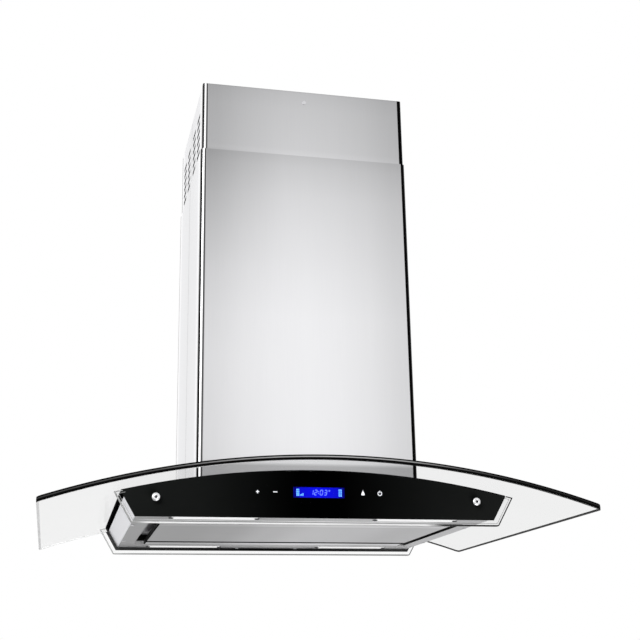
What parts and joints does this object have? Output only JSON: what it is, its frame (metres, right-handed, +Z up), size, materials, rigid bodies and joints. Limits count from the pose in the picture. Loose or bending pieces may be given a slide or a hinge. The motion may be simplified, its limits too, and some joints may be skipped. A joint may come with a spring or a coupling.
{
  "type": "island range hood",
  "caption": "Ceiling-hung island range hood: bent glass canopy, slim steel body with a perimeter suction panel, touch panel, lamps and a telescopic brushed chimney.",
  "frame": {"origin": "middle of the ceiling plate's top face, where the hood meets the ceiling", "axes": "+Z up to the ceiling, +X across the 900 mm canopy to the right of a person facing the controls, +Y away from that person; the control panel faces -Y"},
  "size_m": [0.9, 0.7, 0.8255],
  "materials": {
    "brushed_cover": "vertical brushed stainless steel",
    "body_steel": "brushed stainless steel",
    "zinc_steel": "zinc-plated sheet steel",
    "bolt_steel": "zinc-plated screws",
    "clear_glass": "clear tempered glass with polished edges",
    "black_print": "black ceramic print on the glass's back",
    "black_rubber": "matte",
    "polished_chrome": "polished",
    "display_blue": "lit display",
    "circuit_green": "circuit board",
    "dark_plastic": "moulded",
    "lamp_white": "frosted diffuser",
    "white_plastic": "moulded",
    "filter_aluminium": "anodised and mesh aluminium",
    "motor_iron": "black-painted motor"
  },
  "bodies": {
    "ceiling_mount": {"ceiling_plate": "zinc_steel", "upper_posts": "zinc_steel", "post_bolts": "bolt_steel", "upper_cover_front": "brushed_cover", "upper_cover_rear": "brushed_cover", "upper_cover_joiners": "zinc_steel", "upper_cover_screws": "bolt_steel"},
    "hood": {"lower_posts": "zinc_steel", "height_bolts": "bolt_steel", "bracket_ring": "zinc_steel", "ring_gasket": "black_rubber", "ring_bolts": "bolt_steel", "canopy_glass": "clear_glass", "canopy_gasket": "black_rubber", "hood_shell": "body_steel", "bottom_frame": "body_steel", "small_screws": "bolt_steel", "front_glass": "clear_glass", "front_print": "black_print", "rear_glass": "clear_glass", "rear_print": "black_print", "glass_cap_screws": "polished_chrome", "display_module": "display_blue", "touch_board": "circuit_green", "board_cover": "dark_plastic", "lamp_lenses": "lamp_white", "lamp_housings": "filter_aluminium", "filter_frame_left": "filter_aluminium", "filter_frame_right": "filter_aluminium", "filter_mesh_left": "filter_aluminium", "filter_mesh_right": "filter_aluminium", "hinge_brackets": "zinc_steel", "pivot_pins": "bolt_steel", "panel_magnets": "zinc_steel", "motor_box": "zinc_steel", "motor_box_cover": "zinc_steel", "blower_scroll": "zinc_steel", "blower_side_left": "zinc_steel", "blower_side_right": "zinc_steel", "motor": "motor_iron", "motor_bracket": "zinc_steel", "duct_collar": "zinc_steel", "control_box": "dark_plastic", "control_box_lid": "dark_plastic", "control_board": "circuit_green", "terminal_block": "white_plastic", "cable_gland": "dark_plastic", "led_driver": "white_plastic", "run_capacitor": "filter_aluminium", "wiring_harness": "black_rubber"},
    "lower_cover": {"lower_cover_front": "brushed_cover", "lower_cover_rear": "brushed_cover"},
    "suction_panel": {"suction_panel": "body_steel", "suction_rim": "body_steel"},
    "filter_latch_left": {"filter_latch_left": "polished_chrome"},
    "filter_latch_right": {"filter_latch_right": "polished_chrome"},
    "fan": {"fan_wheel": "filter_aluminium", "fan_shaft": "bolt_steel"},
    "damper_front": {"damper_flap_front": "filter_aluminium"},
    "damper_rear": {"damper_flap_rear": "filter_aluminium"}
  },
  "joints": [
    {"name": "hood_height", "type": "slide", "parent": "ceiling_mount", "child": "hood", "axis": [0, 0, 1], "range_m": [-0.25, 0.04]},
    {"name": "lower_cover_lift", "type": "slide", "parent": "hood", "child": "lower_cover", "axis": [0, 0, 1], "range_m": [0, 0.06]},
    {"name": "panel_hinge", "type": "hinge", "parent": "hood", "child": "suction_panel", "pos_m": [0, 0.168, -0.805], "axis": [1, 0, 0], "range_deg": [0, 88]},
    {"name": "latch_left", "type": "slide", "parent": "hood", "child": "filter_latch_left", "axis": [0, 1, 0], "range_m": [0, 0.005], "stiffness_N_per_m": 400, "springref_m": -0.004},
    {"name": "latch_right", "type": "slide", "parent": "hood", "child": "filter_latch_right", "axis": [0, 1, 0], "range_m": [0, 0.005], "stiffness_N_per_m": 400, "springref_m": -0.004},
    {"name": "fan_spin", "type": "hinge", "parent": "hood", "child": "fan", "pos_m": [0, -0.05, -0.6], "axis": [1, 0, 0], "continuous": true},
    {"name": "damper_rear_swing", "type": "hinge", "parent": "hood", "child": "damper_rear", "pos_m": [0, 0.0225, -0.442], "axis": [1, 0, 0], "range_deg": [0, 80]},
    {"name": "damper_front_swing", "type": "hinge", "parent": "hood", "child": "damper_front", "pos_m": [0, 0.0135, -0.442], "axis": [-1, 0, 0], "range_deg": [0, 80]}
  ]
}
